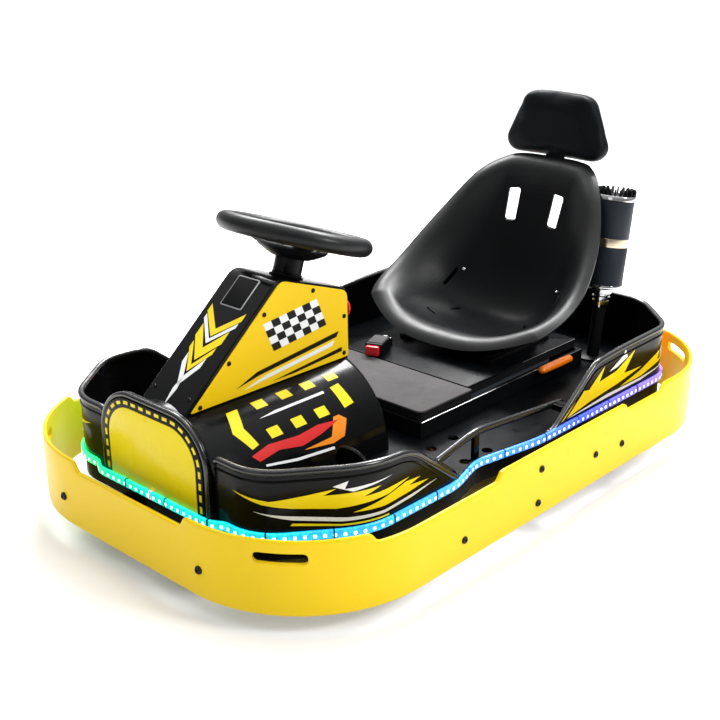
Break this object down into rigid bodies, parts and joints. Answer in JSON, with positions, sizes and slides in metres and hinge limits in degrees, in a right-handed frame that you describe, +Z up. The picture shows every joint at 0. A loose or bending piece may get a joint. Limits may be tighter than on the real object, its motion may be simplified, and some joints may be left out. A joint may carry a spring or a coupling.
{
  "type": "electric go-kart",
  "caption": "Low electric go-kart: a tall yellow bumper ring round a black tub, a wedge console with steering wheel, a bucket seat with headrest and linked front wheels.",
  "frame": {"origin": "on the ground under the middle of the bumper ring", "axes": "+X forward, +Y to the driver's left, +Z up"},
  "size_m": [1.35, 0.87, 0.6975],
  "materials": {
    "yellow_plastic": "glossy moulded",
    "black_gloss": "glossy",
    "black_satin": "fine grain",
    "seat_black": "satin moulded",
    "pad_black": "smooth padded",
    "frame_paint": "semi gloss",
    "mat_grey": "matt fine texture",
    "chrome": "polished",
    "steel": "machined",
    "red_plastic": "glossy",
    "orange_plastic": "glossy",
    "led_tube": "translucent",
    "tyre": "moulded",
    "alloy": "cast",
    "battery_case": "plain"
  },
  "bodies": {
    "chassis": {"bumper": "yellow_plastic", "bumper_carriers": "frame_paint", "frame_rails": "frame_paint", "cross_members": "frame_paint", "floor_pan": "black_satin", "sills": "black_satin", "led_strip": "led_tube", "front_left_wing": "black_gloss", "front_right_wing": "black_gloss", "rear_cowl": "black_gloss", "side_rails": "black_gloss", "nose_cowl": "black_gloss", "number_plate": "yellow_plastic", "hump_cover": "black_gloss", "console": "black_gloss", "console_panels": "yellow_plastic", "column_collar": "black_satin", "lower_bushing": "steel", "stop_button": "red_plastic", "battery_box": "black_satin", "battery_lid": "mat_grey", "battery_pack": "battery_case", "seat_base": "black_satin", "seat_rails": "frame_paint", "seat_shell": "seat_black", "headrest_stem": "frame_paint", "headrest_pad": "pad_black", "stack_body": "black_satin", "stack_cap": "chrome", "stack_neck": "chrome", "belt_buckle": "black_satin", "seat_lever": "orange_plastic", "pedals": "black_satin", "front_axle_beam": "frame_paint", "rear_transaxle": "frame_paint", "motor": "alloy"},
    "steering": {"steering_wheel": "seat_black", "steering_column": "black_satin", "drop_arm": "steel"},
    "left_upright": {"left_knuckle": "steel"},
    "right_upright": {"right_knuckle": "steel"},
    "track_rod": {"tie_rod": "steel"},
    "front_left_wheel": {"front_left_rim": "alloy", "front_left_tyre": "tyre"},
    "front_right_wheel": {"front_right_rim": "alloy", "front_right_tyre": "tyre"},
    "rear_left_wheel": {"rear_left_rim": "alloy", "rear_left_tyre": "tyre"},
    "rear_right_wheel": {"rear_right_rim": "alloy", "rear_right_tyre": "tyre"}
  },
  "joints": [
    {"name": "steering_turn", "type": "hinge", "parent": "chassis", "child": "steering", "pos_m": [0.286, 0, 0.45617], "axis": [-0.309, 0, 0.9511], "range_deg": [-35, 35]},
    {"name": "left_kingpin", "type": "hinge", "parent": "chassis", "child": "left_upright", "pos_m": [0.40839, 0.235, 0.06], "axis": [0, 0, 1], "range_deg": [-35, 35]},
    {"name": "right_kingpin", "type": "hinge", "parent": "chassis", "child": "right_upright", "pos_m": [0.40839, -0.235, 0.06], "axis": [0, 0, 1], "range_deg": [-35, 35]},
    {"name": "track_rod_pivot", "type": "hinge", "parent": "left_upright", "child": "track_rod", "pos_m": [0.34839, 0.235, 0.07], "axis": [0, 0, 1], "range_deg": [-35, 35]},
    {"name": "front_left_spin", "type": "hinge", "parent": "left_upright", "child": "front_left_wheel", "pos_m": [0.40839, 0.29, 0.06], "axis": [0, 1, 0], "continuous": true},
    {"name": "front_right_spin", "type": "hinge", "parent": "right_upright", "child": "front_right_wheel", "pos_m": [0.40839, -0.29, 0.06], "axis": [0, 1, 0], "continuous": true},
    {"name": "rear_left_spin", "type": "hinge", "parent": "chassis", "child": "rear_left_wheel", "pos_m": [-0.43, 0.29, 0.06], "axis": [0, 1, 0], "continuous": true},
    {"name": "rear_right_spin", "type": "hinge", "parent": "chassis", "child": "rear_right_wheel", "pos_m": [-0.43, -0.29, 0.06], "axis": [0, 1, 0], "continuous": true}
  ],
  "couplings": [
    {"joint": "left_kingpin", "follows": "steering_turn", "ratio": 1},
    {"joint": "right_kingpin", "follows": "steering_turn", "ratio": 1},
    {"joint": "track_rod_pivot", "follows": "steering_turn", "ratio": -1}
  ]
}
